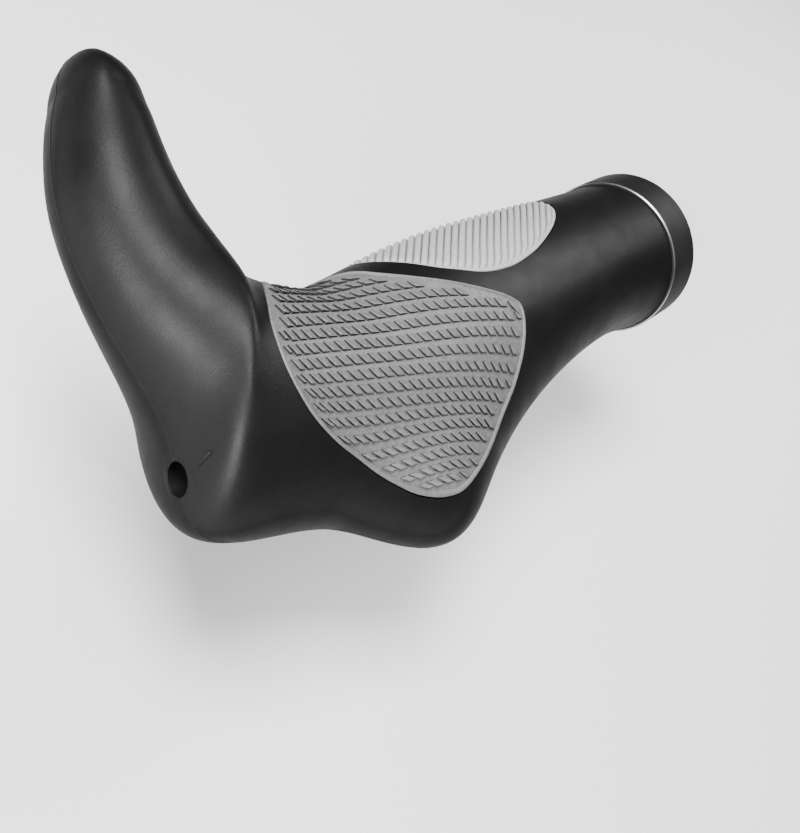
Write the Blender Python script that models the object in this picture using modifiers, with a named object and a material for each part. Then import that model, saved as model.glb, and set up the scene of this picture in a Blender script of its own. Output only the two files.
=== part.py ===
"""Bicycle bar end grip, left hand.

A rubber grip with a palm wing flows into a short curved bar end horn.  A nylon sleeve
slides on the handlebar, a split alloy ring pinches its slotted inboard end, and a wedge
expander inside the bar's open end is drawn up by a bolt through the horn's root.

Frame: +X outboard along the handlebar, +Y to the rear, +Z up.  The origin is on the
bar's axis, at the lock ring's inboard face.
"""

from math import cos, pi, radians, sin

import bmesh
import bpy
import numpy as np
from mathutils import Vector

MM = 0.001
OBJECT_NAME = "bar_end_grip"

# Clearance that neighbouring pieces keep between their faces.
GAP = 0.3 * MM
# How far a cutter runs on past the face it opens.
OVERRUN = 2.0 * MM
MERGE = 0.01 * MM

# Handlebar: 22.2 mm outside, about 18.2 mm inside.
BAR_BORE_R = 11.2 * MM

# Inner sleeve.
SLEEVE_R = 12.3 * MM
SLEEVE_START = 0.3 * MM
SLEEVE_END = 112.0 * MM
BAR_STOP = 109.0 * MM
SPIGOT_R = 7.6 * MM
SPIGOT_BORE_R = 4.5 * MM
SPIGOT_START = 98.0 * MM
SPIGOT_FLOOR = 105.0 * MM
SLEEVE_SLOT_WIDTH = 1.6 * MM
SLEEVE_SLOT_END = 12.5 * MM
FIN_START = 76.0 * MM
FIN_END = 106.0 * MM
FIN_REACH = 20.0 * MM
FIN_THICKNESS = 5.0 * MM
FIN_ROOT = 11.7 * MM
PEG_R = 1.5 * MM
PEG_OFFSET = 9.2 * MM
PEG_START = 109.8 * MM
PEG_HOLE_START = 107.0 * MM

# Lock ring, its lug and its pinch bolt.
RING_WIDTH = 10.0 * MM
RING_R = 17.25 * MM
RING_CHAMFER = 0.8 * MM
LUG_ANGLE = radians(235)
LUG_REACH = 20.6 * MM
LUG_ROOT = 13.6 * MM
LUG_HALF_LENGTH = 8.0 * MM
LUG_WIDTH = 8.4 * MM
LUG_ROUNDING = 1.6 * MM
SLIT_WIDTH = 2.2 * MM
PINCH_RADIUS = 16.9 * MM
PINCH_SHANK_R = 1.5 * MM
PINCH_HEAD_R = 2.75 * MM
PINCH_HEAD_HEIGHT = 3.0 * MM
PINCH_LENGTH = 12.0 * MM
PINCH_KEY_R = 1.44 * MM
PINCH_SEAT = 4.0 * MM
PINCH_WASHER_THICKNESS = 0.6 * MM
PINCH_HOLE_START = -12.0 * MM

# Expander: bolt, washer, wedge nut, three jaws and the band round them.
BOLT_R = 2.5 * MM
BOLT_CLEAR_R = 2.8 * MM
BOLT_HEAD_R = 4.25 * MM
BOLT_HEAD_HEIGHT = 5.0 * MM
BOLT_LENGTH = 45.0 * MM
BOLT_KEY_R = 2.31 * MM
BOLT_SEAT = 118.0 * MM
COUNTERBORE_R = 4.9 * MM
WASHER_R = 4.6 * MM
WASHER_THICKNESS = 1.0 * MM
KEY_HOLE_R = 2.5 * MM
KEY_HOLE_START = 124.0 * MM
HORN_OUTBOARD = 140.0 * MM
NUT_START = 76.0 * MM
NUT_SHOULDER = 78.0 * MM
NUT_END = 92.0 * MM
NUT_R = 7.4 * MM
NUT_TIP_R = 4.9 * MM
JAW_START = 82.5 * MM
JAW_R = 8.6 * MM
JAW_COUNT = 3
JAW_GAP_ANGLE = radians(9)
GROOVE_R = 7.1 * MM
GROOVE_CENTRE = 90.0 * MM
GROOVE_WIDTH = 2.0 * MM
BAND_R = 8.2 * MM
BAND_WIRE_R = 0.6 * MM

# Soft pads, let into the cover.  The palm pad stops short of the horn's underside.
PAD_THICKNESS = 1.2 * MM
PAD_BLOCK_HEIGHT = 40.0 * MM
UNDERSIDE_LOW = Vector((60, -40, -40)) * MM
UNDERSIDE_HIGH = Vector((130, -5, 1)) * MM

# The horn leaves the bar forward and up, and the palm wing lies opposite it.
HORN_RISE = radians(20)
WING_LIFT = radians(3.5)
WING_SHARPNESS = 11
WING_TURN = WING_LIFT - HORN_RISE
FORWARD = Vector((0, -cos(HORN_RISE), sin(HORN_RISE)))
ACROSS = Vector((0, sin(HORN_RISE), cos(HORN_RISE)))
OUTBOARD = Vector((1, 0, 0))

# Cross-sections of the rubber cover, inboard to horn tip, in millimetres and degrees:
# (along the bar, along the horn, fan angle, outer radius, inner radius, half thickness,
# palm wing height).  The fan angle is 0 across the bar and about 90 across the horn.
# "Outer" faces the rear on the bar and outboard on the horn.
COVER_SECTIONS = (
    (10.3, 0.0, 0, 16.6, 16.6, 16.6, 0.0),
    (25.0, 0.0, 0, 14.8, 17.4, 15.9, 0.0),
    (45.0, 0.0, 0, 14.4, 18.8, 15.4, 1.5),
    (65.0, 0.0, 0, 14.6, 19.8, 15.0, 5.3),
    (82.0, 0.0, 0, 14.8, 19.4, 14.7, 11.7),
    (97.0, 0.0, 0, 14.7, 18.4, 14.5, 15.9),
    (110.4, 3.6, 13.5, 17.6, 16.6, 14.8, 4.4),
    (124.9, 8.9, 32.5, 21.3, 19.0, 15.6, 0.2),
    (124.4, 16.6, 46.2, 14.4, 12.4, 15.7, 0.0),
    (124.9, 27.6, 80.9, 11.4, 10.4, 11.9, 0.0),
    (125.1, 40.2, 92.7, 9.7, 9.4, 10.2, 0.0),
    (123.0, 49.4, 100.0, 7.6, 8.1, 9.2, 0.0),
    (122.5, 54.6, 115.6, 4.4, 8.6, 8.5, 0.0),
)
COVER_DOME = 8.0 * MM

# Cross-sections of the stiff core inside the horn, same columns.
CORE_SECTIONS = (
    (112.3, 0.0, 0, 12.3, 12.3, 12.3, 0.0),
    (119.0, 3.0, 16, 12.0, 12.0, 11.5, 0.0),
    (123.5, 11.0, 34, 12.0, 10.5, 10.0, 0.0),
    (124.5, 19.0, 50, 9.5, 8.0, 9.0, 0.0),
    (124.8, 29.0, 75, 7.0, 6.0, 7.5, 0.0),
    (124.8, 40.0, 93, 6.0, 5.5, 6.0, 0.0),
    (123.8, 48.0, 102, 4.5, 4.5, 4.5, 0.0),
)
CORE_DOME = 3.0 * MM

# Outline of the palm pad, seen square to its own plane: (along the bar, across it).
PALM_TILT = radians(15)
PALM_FLOOR = -9.0 * MM
PALM_OUTLINE = (
    (66.0, 8.6), (68.2, 6.0), (72.3, 3.5), (78.6, -0.2), (84.8, -4.1), (89.2, -7.8),
    (92.2, -12.0), (97.0, -14.6), (105.0, -14.8), (111.8, -13.4), (115.8, -9.8),
    (118.7, -6.3), (121.2, -2.5), (122.3, 2.5), (121.2, 7.4), (118.2, 11.0),
    (113.4, 14.4), (108.7, 18.0), (103.9, 21.6), (99.1, 24.0), (94.4, 24.6),
    (86.9, 22.7), (78.6, 19.1), (72.3, 16.2), (68.2, 13.0),
)

# Outline of the finger pad, which wraps round the front.
FINGER_TILT = radians(65)
FINGER_FLOOR = 3.0 * MM
FINGER_OUTLINE = (
    (86.8, 0.0), (86.3, 3.2), (84.0, 6.3), (80.0, 9.4), (76.0, 11.1), (70.0, 12.6),
    (63.0, 13.2), (57.0, 13.2), (50.5, 12.8), (43.5, 11.7), (38.5, 10.2), (35.0, 8.0),
    (33.5, 4.5), (33.6, 0.5), (36.0, -4.0), (41.5, -7.8), (50.0, -9.6), (60.0, -10.0),
    (70.0, -9.4), (79.0, -7.2), (84.5, -4.2),
)

SECTION_SEGMENTS = 36
CORE_SEGMENTS = 24
OUTLINE_POINTS = 60
ROUND_STEPS = 40


# --- scene and materials -------------------------------------------------------------

for old in list(bpy.data.objects):
    bpy.data.objects.remove(old, do_unlink=True)

parts = bpy.data.collections.new(OBJECT_NAME)
cutters = bpy.data.collections.new("cutters")
bpy.context.scene.collection.children.link(parts)
bpy.context.scene.collection.children.link(cutters)


def material(name, colour, roughness, metallic=0.0):
    made = bpy.data.materials.new(name)
    made.use_nodes = True
    shader = made.node_tree.nodes["Principled BSDF"]
    shader.inputs["Base Color"].default_value = (*colour, 1.0)
    shader.inputs["Roughness"].default_value = roughness
    shader.inputs["Metallic"].default_value = metallic
    return made


BLACK_RUBBER = material("black rubber", (0.018, 0.018, 0.019), 0.62)
PALM_RUBBER = material("grey palm rubber", (0.13, 0.13, 0.133), 0.7)
FINGER_RUBBER = material("light grey finger rubber", (0.30, 0.30, 0.303), 0.75)
SLEEVE_NYLON = material("black nylon", (0.03, 0.03, 0.032), 0.45)
CORE_NYLON = material("glass filled nylon", (0.06, 0.06, 0.062), 0.55)
BLACK_ALLOY = material("black anodised aluminium", (0.02, 0.02, 0.022), 0.35, 0.9)
PLAIN_ALLOY = material("plain aluminium", (0.62, 0.63, 0.65), 0.35, 1.0)
BLACK_STEEL = material("black oxide steel", (0.04, 0.04, 0.045), 0.4, 0.9)
ZINC_STEEL = material("zinc plated steel", (0.55, 0.56, 0.58), 0.35, 1.0)
BAND_RUBBER = material("nitrile rubber", (0.025, 0.025, 0.025), 0.6)


def add_object(name, mesh, collection, look=None):
    made = bpy.data.objects.new(name, mesh)
    collection.objects.link(made)
    if look is not None:
        mesh.materials.append(look)
    if collection is cutters:
        made.hide_render = True
        made.display_type = "WIRE"
    return made


def smooth(thing, angle=radians(35)):
    thing.data.shade_smooth()
    thing.data.set_sharp_from_angle(angle=angle)


def boolean(thing, other, operation):
    step = thing.modifiers.new(f"{operation.lower()} {other.name}", "BOOLEAN")
    step.operation = operation
    step.solver = "EXACT"
    step.object = other
    return step


# --- shapes --------------------------------------------------------------------------

def spline_through(rows):
    """Second differences of the natural cubic spline that runs through the rows."""
    count = len(rows)
    left = np.eye(count)
    right = np.zeros(rows.shape)
    for i in range(1, count - 1):
        left[i, i - 1:i + 2] = (1, 4, 1)
        right[i] = 6 * (rows[i - 1] - 2 * rows[i] + rows[i + 1])
    return np.linalg.solve(left, right)


def sections_between(sections, steps, first=0, last=None):
    """Sections along the smooth spline, with so many steps from one row to the next."""
    rows = np.array(sections, dtype=float)
    bend = spline_through(rows)
    last = len(rows) - 1 if last is None else last
    made = []
    for k in range(first * steps, last * steps + 1):
        i = min(k // steps, len(rows) - 2)
        t = k / steps - i
        s = 1 - t
        made.append(rows[i] * s + rows[i + 1] * t
                    + (s ** 3 - s) * bend[i] / 6 + (t ** 3 - t) * bend[i + 1] / 6)
    return made


def section_angles(segments):
    """Angles round a section, packed more closely towards the palm wing at zero."""
    packing = 0.42
    turns = [2 * pi * k / segments for k in range(segments)]
    return [turn - packing * sin(turn) for turn in turns]


def section_ring(row, angles, offset=0.0, shrink=1.0, push=0.0):
    """Points of one section: a four-radius oval with the palm wing as a soft lobe."""
    along, out, fan, outer, inner, half, wing = row
    fan = radians(fan)
    normal = OUTBOARD * cos(fan) + FORWARD * sin(fan)
    side = OUTBOARD * sin(fan) - FORWARD * cos(fan)
    centre = OUTBOARD * (along * MM) + FORWARD * (out * MM) + normal * push
    points = []
    for angle in angles:
        c = cos(angle)
        s = sin(angle)
        reach = (outer if c > 0 else inner) * MM
        radius = 1 / ((c / reach) ** 2 + (s / (half * MM)) ** 2) ** 0.5
        radius += wing * MM * ((1 + cos(angle - WING_LIFT)) / 2) ** WING_SHARPNESS
        radius = (radius + offset) * shrink
        points.append(centre + side * (radius * c) + ACROSS * (radius * s))
    return points


def dome_rings(row, angles, height, offset, steps):
    rings = []
    for k in range(1, steps):
        turn = pi / 2 * k / steps
        rings.append(section_ring(row, angles, offset, cos(turn),
                                  (height + offset) * sin(turn)))
    return rings


def dome_pole(row, height, offset):
    along, out, fan = row[:3]
    normal = OUTBOARD * cos(radians(fan)) + FORWARD * sin(radians(fan))
    return OUTBOARD * (along * MM) + FORWARD * (out * MM) + normal * (height + offset)


def loft(name, rings, pole=None):
    """Closed solid through a row of rings, with a flat start and a flat or domed end."""
    shape = bmesh.new()
    loops = [[shape.verts.new(point) for point in ring] for ring in rings]
    count = len(loops[0])
    for near, far in zip(loops, loops[1:]):
        for k in range(count):
            after = (k + 1) % count
            shape.faces.new((near[k], near[after], far[after], far[k]))
    shape.faces.new(reversed(loops[0]))
    if pole is None:
        shape.faces.new(loops[-1])
    else:
        top = shape.verts.new(pole)
        for k in range(count):
            shape.faces.new((loops[-1][k], loops[-1][(k + 1) % count], top))
    bmesh.ops.recalc_face_normals(shape, faces=shape.faces)
    mesh = bpy.data.meshes.new(name)
    shape.to_mesh(mesh)
    shape.free()
    return mesh


def cover_mesh(name, steps, offset=0.0, first=0, last=None):
    angles = section_angles(SECTION_SEGMENTS)
    rows = sections_between(COVER_SECTIONS, steps, first, last)
    rings = [section_ring(row, angles, offset) for row in rows]
    if last is not None:
        return loft(name, rings)
    rings += dome_rings(rows[-1], angles, COVER_DOME, offset, 5)
    return loft(name, rings, dome_pole(rows[-1], COVER_DOME, offset))


def core_rings(offset):
    angles = [2 * pi * k / CORE_SEGMENTS for k in range(CORE_SEGMENTS)]
    rows = sections_between(CORE_SECTIONS, 3)
    rings = [section_ring(row, angles, offset) for row in rows]
    rings += dome_rings(rows[-1], angles, CORE_DOME, offset, 3)
    return rings, dome_pole(rows[-1], CORE_DOME, offset)


def along_bar(thing, x=0.0):
    """Lay a piece made along its own Z on the bar's axis."""
    thing.rotation_euler = (0, pi / 2, 0)
    thing.location = (x, 0, 0)
    return thing


def upright_cutter(name, radius, start, end, sides):
    """Round cutter along its own Z, or a hexagonal one with six sides."""
    shape = bmesh.new()
    bmesh.ops.create_cone(shape, cap_ends=True, segments=sides, radius1=radius,
                          radius2=radius, depth=end - start)
    bmesh.ops.translate(shape, vec=(0, 0, (start + end) / 2), verts=shape.verts)
    mesh = bpy.data.meshes.new(name)
    shape.to_mesh(mesh)
    shape.free()
    return add_object(name, mesh, cutters)


def bar_cutter(name, radius, start, end, sides):
    """Round cutter along the bar, from one X to another."""
    return along_bar(upright_cutter(name, radius, start, end, sides))


def box_cutter(name, low, high, turn=0.0):
    """Box from its low to its high corner, then turned about the bar's axis."""
    low = Vector(low)
    high = Vector(high)
    shape = bmesh.new()
    bmesh.ops.create_cube(shape, size=1.0)
    bmesh.ops.scale(shape, vec=high - low, verts=shape.verts)
    bmesh.ops.translate(shape, vec=(low + high) / 2, verts=shape.verts)
    mesh = bpy.data.meshes.new(name)
    shape.to_mesh(mesh)
    shape.free()
    made = add_object(name, mesh, cutters)
    made.rotation_euler = (turn, 0, 0)
    return made


def turned(name, profile, collection, look=None, steps=ROUND_STEPS):
    """Turned piece: the profile is (radius, height) points, down the outside first."""
    mesh = bpy.data.meshes.new(name)
    points = [(radius, 0, height) for radius, height in profile]
    edges = [(k, (k + 1) % len(points)) for k in range(len(points))]
    mesh.from_pydata(points, edges, [])
    made = add_object(name, mesh, collection, look)
    screw = made.modifiers.new("turn", "SCREW")
    screw.axis = "Z"
    screw.angle = 2 * pi
    screw.steps = steps
    screw.render_steps = steps
    screw.use_merge_vertices = True
    screw.merge_threshold = MERGE
    screw.use_smooth_shade = False
    return made


def closed_curve(points, count):
    """Smooth closed outline through the points, at so many even steps."""
    points = [Vector(point) * MM for point in points]
    size = len(points)
    made = []
    for k in range(count):
        place = k * size / count
        i = int(place)
        t = place - i
        a, b, c, d = (points[(i + j) % size] for j in (-1, 0, 1, 2))
        made.append(0.5 * ((2 * b) + (c - a) * t + (2 * a - 5 * b + 4 * c - d) * t ** 2
                           + (3 * b - a - 3 * c + d) * t ** 3))
    return made


def grown(outline, distance):
    """The outline with every point moved outwards along its own normal."""
    size = len(outline)
    made = []
    for k, point in enumerate(outline):
        run = (outline[(k + 1) % size] - outline[k - 1]).normalized()
        made.append(point + Vector((run.y, -run.x)) * distance)
    return made


def counter_clockwise(outline):
    area = sum(a.x * b.y - b.x * a.y for a, b in zip(outline, outline[1:] + outline[:1]))
    return outline if area > 0 else outline[::-1]


def pad_block(name, outline, tilt, floor, height, growth=0.0):
    """Upright block with the pad's outline, tilted forward with the pad's plane."""
    curve = bpy.data.curves.new(name, "CURVE")
    curve.dimensions = "2D"
    curve.fill_mode = "BOTH"
    curve.extrude = height / 2
    path = grown(counter_clockwise(closed_curve(outline, OUTLINE_POINTS)), growth)
    spline = curve.splines.new("POLY")
    spline.points.add(len(path) - 1)
    for k, point in enumerate(path):
        spline.points[k].co = (point.x, point.y, 0, 1)
    spline.use_cyclic_u = True
    drawn = bpy.data.objects.new(name + " outline", curve)
    cutters.objects.link(drawn)
    bpy.context.view_layer.update()
    mesh = bpy.data.meshes.new_from_object(
        drawn.evaluated_get(bpy.context.evaluated_depsgraph_get()))
    bpy.data.objects.remove(drawn)
    shape = bmesh.new()
    shape.from_mesh(mesh)
    bmesh.ops.remove_doubles(shape, verts=shape.verts, dist=MERGE)
    bmesh.ops.translate(shape, vec=(0, 0, floor + height / 2), verts=shape.verts)
    bmesh.ops.recalc_face_normals(shape, faces=shape.faces)
    shape.to_mesh(mesh)
    shape.free()
    made = add_object(name, mesh, cutters)
    made.rotation_euler = (tilt, 0, 0)
    return made


def cap_screw(name, look, shank, head, height, length, key):
    """Socket cap screw: the head's seat is at its own Z = 0, the shank below it."""
    tip = 0.4 * MM
    edge = 0.35 * MM
    key_depth = 0.55 * height
    screw = turned(name, (
        (0, height), (head - edge, height), (head, height - edge), (head, 0),
        (shank, 0), (shank, tip - length), (shank - tip, -length), (0, -length),
    ), parts, look, 32)
    socket = upright_cutter(name + " socket", key, height - key_depth, height + OVERRUN, 6)
    return screw, socket


# --- rubber cover and its pads -------------------------------------------------------

COVER_STEPS = 3
SKIN = 1.0 * MM
PAD_FIRST = 1
PALM_LAST = 9
FINGER_LAST = 6

cover = add_object("grip_cover", cover_mesh("grip_cover", COVER_STEPS), parts, BLACK_RUBBER)


def pad_recess(name, outline, tilt, floor, last):
    """Shallow pocket in the cover: the pad's block between two skins of the cover."""
    top = add_object(name + " pocket", cover_mesh(name + " pocket", COVER_STEPS, SKIN,
                                                  PAD_FIRST, last), cutters)
    bottom = add_object(name + " pocket floor",
                        cover_mesh(name + " pocket floor", COVER_STEPS,
                                   -PAD_THICKNESS - GAP, PAD_FIRST - 1, last + 1), cutters)
    block = pad_block(name + " pocket block", outline, tilt, floor, PAD_BLOCK_HEIGHT, GAP)
    boolean(top, block, "INTERSECT")
    boolean(top, bottom, "DIFFERENCE")
    return top


def pad(name, look, outline, tilt, floor, last):
    """Soft pad: the cover's own surface inside the outline, one thickness deep."""
    made = add_object(name, cover_mesh(name, COVER_STEPS, 0.0, PAD_FIRST, last), parts, look)
    bottom = add_object(name + " underside",
                        cover_mesh(name + " underside", COVER_STEPS, -PAD_THICKNESS,
                                   PAD_FIRST - 1, last + 1), cutters)
    block = pad_block(name + " block", outline, tilt, floor, PAD_BLOCK_HEIGHT)
    boolean(made, block, "INTERSECT")
    boolean(made, bottom, "DIFFERENCE")
    return made


front_underside = box_cutter("front underside", UNDERSIDE_LOW, UNDERSIDE_HIGH)
cavity_rings, cavity_pole = core_rings(GAP)
bore_angles = [2 * pi * k / CORE_SEGMENTS for k in range(CORE_SEGMENTS)]
bore_mouth = ((RING_WIDTH - OVERRUN) / MM, 0, 0, *[SLEEVE_R / MM] * 3, 0)
cavity_rings.insert(0, section_ring(bore_mouth, bore_angles, GAP))
cavity = add_object("core cavity", loft("core cavity", cavity_rings, cavity_pole), cutters)
fin_cavity = box_cutter("fin cavity",
                        (FIN_START - GAP, FIN_ROOT - GAP, -FIN_THICKNESS / 2 - GAP),
                        (FIN_END + GAP, FIN_REACH + GAP, FIN_THICKNESS / 2 + GAP),
                        WING_TURN)
key_hole = bar_cutter("key hole", KEY_HOLE_R, KEY_HOLE_START, HORN_OUTBOARD, 24)
palm_pocket = pad_recess("palm", PALM_OUTLINE, PALM_TILT, PALM_FLOOR, PALM_LAST)
finger_pocket = pad_recess("finger", FINGER_OUTLINE, FINGER_TILT, FINGER_FLOOR, FINGER_LAST)
boolean(palm_pocket, front_underside, "DIFFERENCE")
for cutter in (palm_pocket, finger_pocket, cavity, fin_cavity, key_hole):
    boolean(cover, cutter, "DIFFERENCE")
smooth(cover, radians(40))

palm_pad = pad("palm_pad", PALM_RUBBER, PALM_OUTLINE, PALM_TILT, PALM_FLOOR, PALM_LAST)
finger_pad = pad("finger_pad", FINGER_RUBBER, FINGER_OUTLINE, FINGER_TILT, FINGER_FLOOR,
                 FINGER_LAST)
boolean(palm_pad, front_underside, "DIFFERENCE")
smooth(palm_pad)
smooth(finger_pad)

# --- sleeve on the bar ---------------------------------------------------------------

sleeve = along_bar(turned("bar_sleeve", (
    (SLEEVE_R, SLEEVE_END), (SLEEVE_R, SLEEVE_START), (BAR_BORE_R, SLEEVE_START),
    (BAR_BORE_R, BAR_STOP), (SPIGOT_R, BAR_STOP), (SPIGOT_R, SPIGOT_START),
    (SPIGOT_BORE_R, SPIGOT_START), (SPIGOT_BORE_R, SPIGOT_FLOOR),
    (BOLT_CLEAR_R, SPIGOT_FLOOR), (BOLT_CLEAR_R, SLEEVE_END),
), parts, SLEEVE_NYLON))
fin = box_cutter("palm fin", (FIN_START, FIN_ROOT, -FIN_THICKNESS / 2),
                 (FIN_END, FIN_REACH, FIN_THICKNESS / 2), WING_TURN)
boolean(sleeve, fin, "UNION")
for number in (1, 2):
    slot = box_cutter(f"sleeve slot {number}",
                      (-OVERRUN, -SLEEVE_R - OVERRUN, -SLEEVE_SLOT_WIDTH / 2),
                      (SLEEVE_SLOT_END, SLEEVE_R + OVERRUN, SLEEVE_SLOT_WIDTH / 2),
                      pi / 4 + pi / 2 * number)
    boolean(sleeve, slot, "DIFFERENCE")

# --- horn core -----------------------------------------------------------------------

rings, pole = core_rings(0.0)
core = add_object("horn_core", loft("horn_core", rings, pole), parts, CORE_NYLON)
for sign, name in ((1, "upper"), (-1, "lower")):
    place = (0, 0, sign * PEG_OFFSET)
    peg = bar_cutter(f"{name} peg", PEG_R, PEG_START, BOLT_SEAT, 16)
    peg.location += Vector(place)
    boolean(core, peg, "UNION")
    hole = bar_cutter(f"{name} peg hole", PEG_R + GAP, PEG_HOLE_START,
                      SLEEVE_END + OVERRUN, 16)
    hole.location += Vector(place)
    boolean(sleeve, hole, "DIFFERENCE")
for cutter in (
    bar_cutter("bolt passage", BOLT_CLEAR_R, SLEEVE_END - OVERRUN, BOLT_SEAT + OVERRUN, 24),
    bar_cutter("bolt head pocket", COUNTERBORE_R, BOLT_SEAT, HORN_OUTBOARD, 32),
):
    boolean(core, cutter, "DIFFERENCE")
smooth(sleeve)
smooth(core, radians(40))

# --- lock ring and its pinch bolt ----------------------------------------------------

ring_bore = SLEEVE_R + GAP
lock_ring = along_bar(turned("lock_ring", (
    (RING_R - RING_CHAMFER, RING_WIDTH), (RING_R, RING_WIDTH - RING_CHAMFER),
    (RING_R, RING_CHAMFER), (RING_R - RING_CHAMFER, 0), (ring_bore, 0),
    (ring_bore, RING_WIDTH),
), parts, BLACK_ALLOY, 56))
lug = box_cutter("pinch lug",
                 ((RING_WIDTH - LUG_WIDTH) / 2, LUG_ROOT, -LUG_HALF_LENGTH),
                 ((RING_WIDTH + LUG_WIDTH) / 2, LUG_REACH, LUG_HALF_LENGTH), LUG_ANGLE)
rounding = lug.modifiers.new("rounding", "BEVEL")
rounding.width = LUG_ROUNDING
rounding.segments = 2
slit = box_cutter("ring slit", (-OVERRUN, ring_bore - OVERRUN, -SLIT_WIDTH / 2),
                  (RING_WIDTH + OVERRUN, LUG_REACH + OVERRUN, SLIT_WIDTH / 2), LUG_ANGLE)


def across_lug(thing):
    """Lay a piece made along Z on the pinch bolt's line."""
    thing.rotation_euler = (LUG_ANGLE, 0, 0)
    thing.location = (RING_WIDTH / 2, PINCH_RADIUS * cos(LUG_ANGLE),
                      PINCH_RADIUS * sin(LUG_ANGLE))
    return thing


bolt_hole = upright_cutter("pinch bolt hole", PINCH_SHANK_R + GAP, PINCH_HOLE_START,
                           PINCH_SEAT + OVERRUN, 20)
head_pocket = upright_cutter("pinch head pocket", PINCH_HEAD_R + GAP, PINCH_SEAT,
                             LUG_HALF_LENGTH + OVERRUN, 28)
boolean(lock_ring, lug, "UNION")
for cutter in (slit, across_lug(bolt_hole), across_lug(head_pocket)):
    boolean(lock_ring, cutter, "DIFFERENCE")
smooth(lock_ring)

washer_top = PINCH_SEAT + GAP + PINCH_WASHER_THICKNESS
pinch_washer = across_lug(turned("lock_washer", (
    (PINCH_HEAD_R, washer_top), (PINCH_HEAD_R, PINCH_SEAT + GAP),
    (PINCH_SHANK_R + GAP, PINCH_SEAT + GAP), (PINCH_SHANK_R + GAP, washer_top),
), parts, ZINC_STEEL, 28))
smooth(pinch_washer)

pinch_bolt, pinch_socket = cap_screw("lock_bolt", BLACK_STEEL, PINCH_SHANK_R, PINCH_HEAD_R,
                                     PINCH_HEAD_HEIGHT, PINCH_LENGTH, PINCH_KEY_R)
for piece in (pinch_bolt, pinch_socket):
    across_lug(piece)
    piece.location += Vector((0, -sin(LUG_ANGLE), cos(LUG_ANGLE))) * (washer_top + GAP)
boolean(pinch_bolt, pinch_socket, "DIFFERENCE")
smooth(pinch_bolt)

# --- expander in the bar's end -------------------------------------------------------

washer_end = BOLT_SEAT + GAP + WASHER_THICKNESS
expander_washer = along_bar(turned("expander_washer", (
    (WASHER_R, washer_end), (WASHER_R, BOLT_SEAT + GAP),
    (BOLT_CLEAR_R, BOLT_SEAT + GAP), (BOLT_CLEAR_R, washer_end),
), parts, ZINC_STEEL, 32))
smooth(expander_washer)

expander_bolt, expander_socket = cap_screw("expander_bolt", BLACK_STEEL, BOLT_R, BOLT_HEAD_R,
                                           BOLT_HEAD_HEIGHT, BOLT_LENGTH, BOLT_KEY_R)
for piece in (expander_bolt, expander_socket):
    along_bar(piece, washer_end + GAP)
boolean(expander_bolt, expander_socket, "DIFFERENCE")
smooth(expander_bolt)

wedge_nut = along_bar(turned("wedge_nut", (
    (NUT_TIP_R, NUT_END), (NUT_R, NUT_SHOULDER), (NUT_R, NUT_START),
    (BOLT_CLEAR_R, NUT_START), (BOLT_CLEAR_R, NUT_END),
), parts, PLAIN_ALLOY, 32))
smooth(wedge_nut)

cone_slope = (NUT_R - NUT_TIP_R) / (NUT_END - NUT_SHOULDER)
jaw_end = SPIGOT_START - GAP


def jaw_bore(x):
    """Radius of the jaws' tapered bore, one gap outside the wedge nut's cone."""
    return NUT_R + GAP - (x - NUT_SHOULDER) * cone_slope


groove_low = GROOVE_CENTRE - GROOVE_WIDTH / 2
groove_high = GROOVE_CENTRE + GROOVE_WIDTH / 2
jaw_profile = (
    (JAW_R, jaw_end), (JAW_R, groove_high), (GROOVE_R, groove_high),
    (GROOVE_R, groove_low), (JAW_R, groove_low), (JAW_R, JAW_START),
    (jaw_bore(JAW_START), JAW_START), (jaw_bore(jaw_end), jaw_end),
)


def sector_block(name, middle, width):
    """Wedge-shaped block that keeps one jaw's share of the full ring."""
    reach = 30 * MM
    bends = 4
    shape = bmesh.new()
    corners = [(0, 0, 0)]
    for k in range(bends + 1):
        angle = middle - width / 2 + width * k / bends
        corners.append((0, reach * cos(angle), reach * sin(angle)))
    face = shape.faces.new([shape.verts.new(corner) for corner in corners])
    made = bmesh.ops.extrude_face_region(shape, geom=[face])
    moved = [item for item in made["geom"] if isinstance(item, bmesh.types.BMVert)]
    bmesh.ops.translate(shape, vec=(40 * MM, 0, 0), verts=moved)
    bmesh.ops.translate(shape, vec=(70 * MM, 0, 0), verts=shape.verts)
    bmesh.ops.recalc_face_normals(shape, faces=shape.faces)
    mesh = bpy.data.meshes.new(name)
    shape.to_mesh(mesh)
    shape.free()
    return add_object(name, mesh, cutters)


for number, side in enumerate(("top", "rear", "front")):
    middle = pi / 2 - 2 * pi / JAW_COUNT * number
    jaw = along_bar(turned(f"expander_jaw_{side}", jaw_profile, parts, PLAIN_ALLOY, 36))
    boolean(jaw, sector_block(f"{side} sector", middle, 2 * pi / JAW_COUNT - JAW_GAP_ANGLE),
            "INTERSECT")
    smooth(jaw)

band_shape = []
for k in range(8):
    turn = 2 * pi * k / 8
    band_shape.append((BAND_R + BAND_WIRE_R * cos(turn),
                       GROOVE_CENTRE - BAND_WIRE_R * sin(turn)))
band = along_bar(turned("jaw_band", band_shape, parts, BAND_RUBBER, 32))
smooth(band, radians(60))
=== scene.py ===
"""Looks of the left-hand bar end grip: fine rubber skin, pads with real tread, alloy ring.

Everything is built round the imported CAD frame, in metres: +X outboard along the
handlebar, +Y to the rear, +Z up, with the origin on the bar's axis.
"""

from math import cos, pi, radians, sin

import bmesh
import bpy
import numpy as np
from mathutils import Matrix, Vector
from mathutils.bvhtree import BVHTree


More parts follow.
